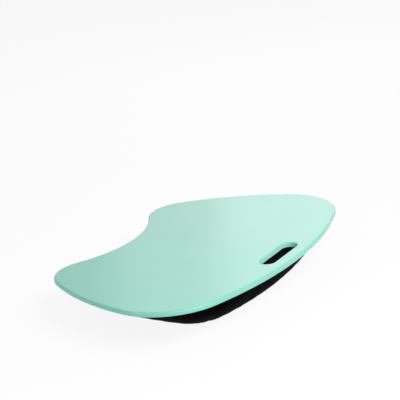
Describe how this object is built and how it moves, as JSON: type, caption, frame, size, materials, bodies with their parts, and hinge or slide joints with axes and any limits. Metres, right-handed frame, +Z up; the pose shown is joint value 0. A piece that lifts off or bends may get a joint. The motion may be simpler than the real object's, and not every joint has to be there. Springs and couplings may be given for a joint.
{
  "type": "lap desk",
  "caption": "Bean-shaped lap desk: a moulded board with a hand slot and belly notch, fixed on a bead-filled cushion with a zipped cover.",
  "frame": {"origin": "on the surface that the cushion stands on, under the middle of the board's bounding box", "axes": "+X to the user's right along the board's width, +Y away from the user towards the hand slot, +Z up"},
  "size_m": [0.614, 0.3849, 0.07],
  "materials": {
    "mint_abs": "satin",
    "black_hardboard": "matte",
    "zinc_steel": "satin",
    "black_fabric": "matte",
    "grey_liner": "matte",
    "polystyrene_beads": "matte",
    "zip_tape": "matte",
    "zip_nylon": "satin",
    "zip_metal": "satin"
  },
  "bodies": {
    "desk": {"top_shell": "mint_abs", "base_panel": "black_hardboard", "panel_screws": "zinc_steel", "cover_top_panel": "black_fabric", "cover_side_band": "black_fabric", "cover_bottom_panel": "black_fabric", "cover_staples": "zinc_steel", "bead_bag": "grey_liner", "bead_fill": "polystyrene_beads", "zip_tape_upper": "zip_tape", "zip_tape_lower": "zip_tape", "zip_coil_upper": "zip_nylon", "zip_coil_lower": "zip_nylon", "zip_end_stops": "zip_metal"},
    "slider": {"zip_slider": "zip_metal"},
    "pull": {"zip_pull": "zip_metal"}
  },
  "joints": [
    {"name": "zip_slide", "type": "hinge", "parent": "desk", "child": "slider", "pos_m": [0, -0.43, 0.038], "axis": [0, 0, 1], "range_deg": [0, 31.3]},
    {"name": "pull_swing", "type": "hinge", "parent": "slider", "child": "pull", "pos_m": [0.07992, -0.14567, 0.038], "axis": [0, 0, -1], "range_deg": [0, 170]}
  ]
}
